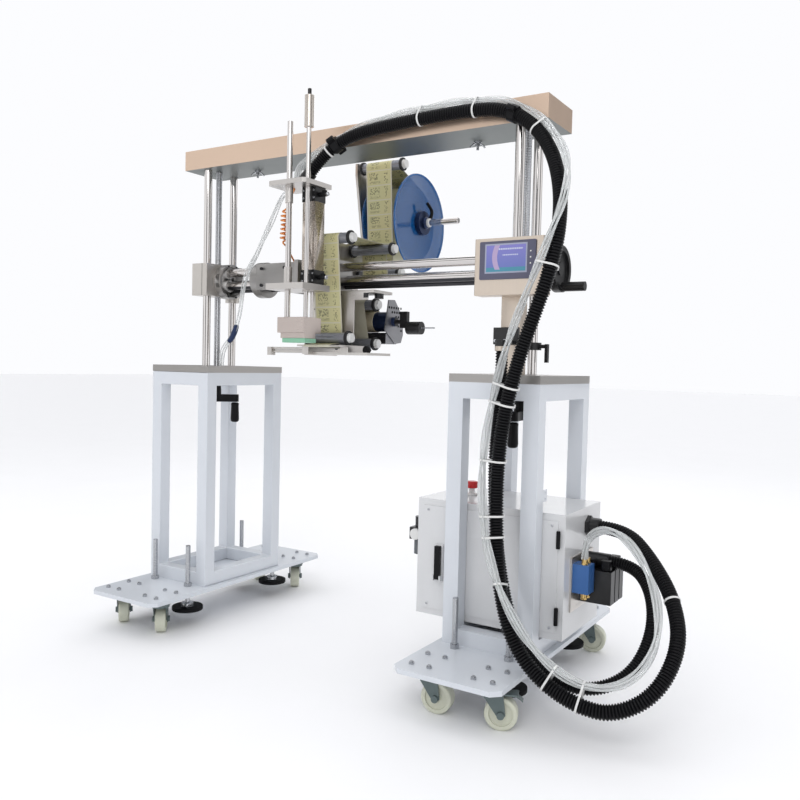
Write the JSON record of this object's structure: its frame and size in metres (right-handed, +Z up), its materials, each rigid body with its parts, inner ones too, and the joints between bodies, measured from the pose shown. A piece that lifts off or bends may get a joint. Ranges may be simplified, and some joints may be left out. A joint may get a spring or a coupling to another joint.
{
  "type": "flat label applicator",
  "caption": "Flat label applicator: a labelling head with reel, web rollers, peel plate and tamp pad on cross shafts between two wheeled stands, with screw lift, panel and cabinet.",
  "frame": {"origin": "on the floor, midway between the two stands in X and at the middle of the stands in Y", "axes": "+X along the cross shafts towards the cabinet stand, +Y from the operator to the back, +Z up"},
  "size_m": [1.6711, 0.8844, 1.548],
  "materials": {
    "white_paint": "gloss",
    "grey_green_paint": "satin",
    "cream_nylon": "satin",
    "black_rubber": "matte",
    "anodised_plate": "brushed",
    "anodised_beam": "satin",
    "chrome": "polished",
    "zinc_steel": "satin",
    "satin_aluminium": "satin",
    "roller_grey": "satin",
    "dark_blue_anodised": "satin",
    "black_plastic": "satin",
    "clear_blue_plastic": "clear",
    "label_stock": "satin",
    "cylinder_grey": "satin",
    "screen_glass": "gloss",
    "cabinet_grey": "gloss",
    "red_plastic": "gloss",
    "valve_blue": "satin",
    "hose_black": "satin",
    "clear_tube": "clear"
  },
  "bodies": {
    "base": {"base_plates": "white_paint", "left_stand_frame": "white_paint", "right_stand_frame": "white_paint", "top_plates": "anodised_plate", "guide_shafts": "chrome", "cross_beam": "anodised_beam", "hmi_column": "anodised_plate", "hmi_panel": "screen_glass", "cabinet_body": "cabinet_grey", "cabinet_fittings": "valve_blue", "main_hose": "hose_black", "second_hose": "hose_black", "air_tubes": "clear_tube"},
    "left_feet": {"left_levelling_feet": "black_rubber"},
    "right_feet": {"right_levelling_feet": "black_rubber"},
    "left_lift_screw_body": {"left_lift_screw": "zinc_steel"},
    "right_lift_screw_body": {"right_lift_screw": "zinc_steel"},
    "lift_carriage": {"carriage_blocks": "satin_aluminium", "cross_shafts": "chrome", "round_flanges": "satin_aluminium"},
    "traverse_screw_body": {"traverse_screw": "zinc_steel"},
    "head": {"head_slide": "satin_aluminium", "head_side_plate": "satin_aluminium", "reel_arm": "satin_aluminium", "cover_plate": "satin_aluminium", "peel_bed": "satin_aluminium", "rewinder_plate": "black_plastic", "label_web": "label_stock", "tamp_frame": "satin_aluminium", "tamp_cylinder": "cylinder_grey"},
    "tamp": {"tamp_rods": "chrome", "tamp_block": "satin_aluminium"},
    "label_reel": {"reel": "clear_blue_plastic", "label_roll": "label_stock"},
    "liner_rewinder": {"rewinder": "dark_blue_anodised"},
    "handle_lever": {"door_handle": "black_plastic"},
    "stop_button": {"estop_button": "red_plastic"},
    "fork_left_front_outer": {"caster_fork_left_front_outer": "grey_green_paint"},
    "wheel_left_front_outer": {"caster_wheel_left_front_outer": "cream_nylon"},
    "fork_left_front_inner": {"caster_fork_left_front_inner": "grey_green_paint"},
    "wheel_left_front_inner": {"caster_wheel_left_front_inner": "cream_nylon"},
    "fork_left_rear_outer": {"caster_fork_left_rear_outer": "grey_green_paint"},
    "wheel_left_rear_outer": {"caster_wheel_left_rear_outer": "cream_nylon"},
    "fork_left_rear_inner": {"caster_fork_left_rear_inner": "grey_green_paint"},
    "wheel_left_rear_inner": {"caster_wheel_left_rear_inner": "cream_nylon"},
    "fork_right_front_inner": {"caster_fork_right_front_inner": "grey_green_paint"},
    "wheel_right_front_inner": {"caster_wheel_right_front_inner": "cream_nylon"},
    "fork_right_front_outer": {"caster_fork_right_front_outer": "grey_green_paint"},
    "wheel_right_front_outer": {"caster_wheel_right_front_outer": "cream_nylon"},
    "fork_right_rear_inner": {"caster_fork_right_rear_inner": "grey_green_paint"},
    "wheel_right_rear_inner": {"caster_wheel_right_rear_inner": "cream_nylon"},
    "fork_right_rear_outer": {"caster_fork_right_rear_outer": "grey_green_paint"},
    "wheel_right_rear_outer": {"caster_wheel_right_rear_outer": "cream_nylon"},
    "turning_top_roller": {"roller_top": "roller_grey"},
    "turning_dancer_roller": {"roller_dancer": "roller_grey"},
    "turning_rear_roller": {"roller_rear": "roller_grey"},
    "turning_front_upper_roller": {"roller_front_upper": "roller_grey"},
    "turning_front_lower_roller": {"roller_front_lower": "roller_grey"},
    "turning_bottom_roller": {"roller_bottom": "roller_grey"},
    "turning_drive_roller": {"roller_drive": "roller_grey"}
  },
  "joints": [
    {"name": "swivel_left_front_outer", "type": "hinge", "parent": "base", "child": "fork_left_front_outer", "pos_m": [-0.612, -0.307, 0.09], "axis": [0, 0, 1], "continuous": true},
    {"name": "roll_left_front_outer", "type": "hinge", "parent": "fork_left_front_outer", "child": "wheel_left_front_outer", "pos_m": [-0.63132, -0.2896, 0.0375], "axis": [-0.6691, -0.7431, 0], "continuous": true},
    {"name": "swivel_left_front_inner", "type": "hinge", "parent": "base", "child": "fork_left_front_inner", "pos_m": [-0.452, -0.307, 0.09], "axis": [0, 0, 1], "continuous": true},
    {"name": "roll_left_front_inner", "type": "hinge", "parent": "fork_left_front_inner", "child": "wheel_left_front_inner", "pos_m": [-0.4694, -0.28768, 0.0375], "axis": [-0.7431, -0.6691, 0], "continuous": true},
    {"name": "swivel_left_rear_outer", "type": "hinge", "parent": "base", "child": "fork_left_rear_outer", "pos_m": [-0.612, 0.307, 0.09], "axis": [0, 0, 1], "continuous": true},
    {"name": "roll_left_rear_outer", "type": "hinge", "parent": "fork_left_rear_outer", "child": "wheel_left_rear_outer", "pos_m": [-0.63452, 0.32, 0.0375], "axis": [-0.5, -0.866, 0], "continuous": true},
    {"name": "swivel_left_rear_inner", "type": "hinge", "parent": "base", "child": "fork_left_rear_inner", "pos_m": [-0.452, 0.307, 0.09], "axis": [0, 0, 1], "continuous": true},
    {"name": "roll_left_rear_inner", "type": "hinge", "parent": "fork_left_rear_inner", "child": "wheel_left_rear_inner", "pos_m": [-0.46801, 0.32749, 0.0375], "axis": [-0.788, -0.6157, 0], "continuous": true},
    {"name": "swivel_right_front_inner", "type": "hinge", "parent": "base", "child": "fork_right_front_inner", "pos_m": [0.452, -0.307, 0.09], "axis": [0, 0, 1], "continuous": true},
    {"name": "roll_right_front_inner", "type": "hinge", "parent": "fork_right_front_inner", "child": "wheel_right_front_inner", "pos_m": [0.47775, -0.30338, 0.0375], "axis": [-0.1392, 0.9903, 0], "continuous": true},
    {"name": "swivel_right_front_outer", "type": "hinge", "parent": "base", "child": "fork_right_front_outer", "pos_m": [0.612, -0.307, 0.09], "axis": [0, 0, 1], "continuous": true},
    {"name": "roll_right_front_outer", "type": "hinge", "parent": "fork_right_front_outer", "child": "wheel_right_front_outer", "pos_m": [0.63643, -0.29811, 0.0375], "axis": [-0.342, 0.9397, 0], "continuous": true},
    {"name": "swivel_right_rear_inner", "type": "hinge", "parent": "base", "child": "fork_right_rear_inner", "pos_m": [0.452, 0.307, 0.09], "axis": [0, 0, 1], "continuous": true},
    {"name": "roll_right_rear_inner", "type": "hinge", "parent": "fork_right_rear_inner", "child": "wheel_right_rear_inner", "pos_m": [0.4733, 0.32191, 0.0375], "axis": [-0.5736, 0.8192, 0], "continuous": true},
    {"name": "swivel_right_rear_outer", "type": "hinge", "parent": "base", "child": "fork_right_rear_outer", "pos_m": [0.612, 0.307, 0.09], "axis": [0, 0, 1], "continuous": true},
    {"name": "roll_right_rear_outer", "type": "hinge", "parent": "fork_right_rear_outer", "child": "wheel_right_rear_outer", "pos_m": [0.63743, 0.31241, 0.0375], "axis": [-0.2079, 0.9781, 0], "continuous": true},
    {"name": "level_left", "type": "slide", "parent": "base", "child": "left_feet", "axis": [0, 0, 1], "range_m": [-0.044, 0.015]},
    {"name": "level_right", "type": "slide", "parent": "base", "child": "right_feet", "axis": [0, 0, 1], "range_m": [-0.044, 0.015]},
    {"name": "turn_left_lift_screw", "type": "hinge", "parent": "base", "child": "left_lift_screw_body", "pos_m": [-0.534, -0.01, 0.766], "axis": [0, 0, 1], "range_deg": [-10800, 18900], "deforming": ["main_hose", "air_tubes"]},
    {"name": "turn_right_lift_screw", "type": "hinge", "parent": "base", "child": "right_lift_screw_body", "pos_m": [0.534, -0.01, 0.766], "axis": [0, 0, 1], "range_deg": [-10818, 18918], "deforming": ["main_hose", "air_tubes"]},
    {"name": "lift", "type": "slide", "parent": "base", "child": "lift_carriage", "axis": [0, 0, 1], "range_m": [-0.1202, 0.2102], "deforming": ["main_hose", "air_tubes"]},
    {"name": "turn_handwheel", "type": "hinge", "parent": "lift_carriage", "child": "traverse_screw_body", "pos_m": [0.6, 0.036, 1.056], "axis": [1, 0, 0], "range_deg": [-9900, 22500], "deforming": ["main_hose", "air_tubes"]},
    {"name": "traverse", "type": "slide", "parent": "lift_carriage", "child": "head", "axis": [1, 0, 0], "range_m": [-0.1102, 0.2502], "deforming": ["main_hose", "air_tubes"]},
    {"name": "tamp_stroke", "type": "slide", "parent": "head", "child": "tamp", "axis": [0, 0, 1], "range_m": [-0.125, 0]},
    {"name": "turn_drive_roller", "type": "hinge", "parent": "head", "child": "turning_drive_roller", "pos_m": [-0.05, 0.075, 0.979], "axis": [1, 0, 0], "continuous": true},
    {"name": "turn_top_roller", "type": "hinge", "parent": "head", "child": "turning_top_roller", "pos_m": [-0.05, 0.206, 1.419], "axis": [1, 0, 0], "continuous": true},
    {"name": "turn_dancer_roller", "type": "hinge", "parent": "head", "child": "turning_dancer_roller", "pos_m": [-0.05, 0.2, 1.085], "axis": [1, 0, 0], "continuous": true},
    {"name": "turn_rear_roller", "type": "hinge", "parent": "head", "child": "turning_rear_roller", "pos_m": [-0.05, 0.158, 1.154], "axis": [1, 0, 0], "continuous": true},
    {"name": "turn_front_upper_roller", "type": "hinge", "parent": "head", "child": "turning_front_upper_roller", "pos_m": [-0.05, -0.059, 1.158], "axis": [1, 0, 0], "continuous": true},
    {"name": "turn_front_lower_roller", "type": "hinge", "parent": "head", "child": "turning_front_lower_roller", "pos_m": [-0.05, -0.061, 0.876], "axis": [1, 0, 0], "continuous": true},
    {"name": "turn_bottom_roller", "type": "hinge", "parent": "head", "child": "turning_bottom_roller", "pos_m": [-0.05, 0.074, 0.864], "axis": [1, 0, 0], "continuous": true},
    {"name": "turn_reel", "type": "hinge", "parent": "head", "child": "label_reel", "pos_m": [-0.05, 0.34, 1.26], "axis": [1, 0, 0], "continuous": true},
    {"name": "turn_rewinder", "type": "hinge", "parent": "head", "child": "liner_rewinder", "pos_m": [-0.05, 0.135, 0.932], "axis": [1, 0, 0], "continuous": true},
    {"name": "lift_door_handle", "type": "hinge", "parent": "base", "child": "handle_lever", "pos_m": [0.376, -0.14, 0.264], "axis": [1, 0, 0], "range_deg": [0, 40]},
    {"name": "press_stop_button", "type": "slide", "parent": "base", "child": "stop_button", "axis": [0, 0, 1], "range_m": [-0.005, 0], "stiffness_N_per_m": 400}
  ],
  "couplings": [
    {"joint": "turn_right_lift_screw", "follows": "turn_left_lift_screw", "ratio": 1},
    {"joint": "lift", "follows": "turn_left_lift_screw", "m_per_rad": 0.00063662},
    {"joint": "traverse", "follows": "turn_handwheel", "m_per_rad": 0.00063662},
    {"joint": "turn_top_roller", "follows": "turn_drive_roller", "ratio": -1},
    {"joint": "turn_dancer_roller", "follows": "turn_drive_roller", "ratio": 1},
    {"joint": "turn_rear_roller", "follows": "turn_drive_roller", "ratio": -1},
    {"joint": "turn_front_upper_roller", "follows": "turn_drive_roller", "ratio": -1},
    {"joint": "turn_front_lower_roller", "follows": "turn_drive_roller", "ratio": 1},
    {"joint": "turn_bottom_roller", "follows": "turn_drive_roller", "ratio": -1},
    {"joint": "turn_reel", "follows": "turn_drive_roller", "ratio": -0.13154},
    {"joint": "turn_rewinder", "follows": "turn_drive_roller", "ratio": 0.47853}
  ]
}
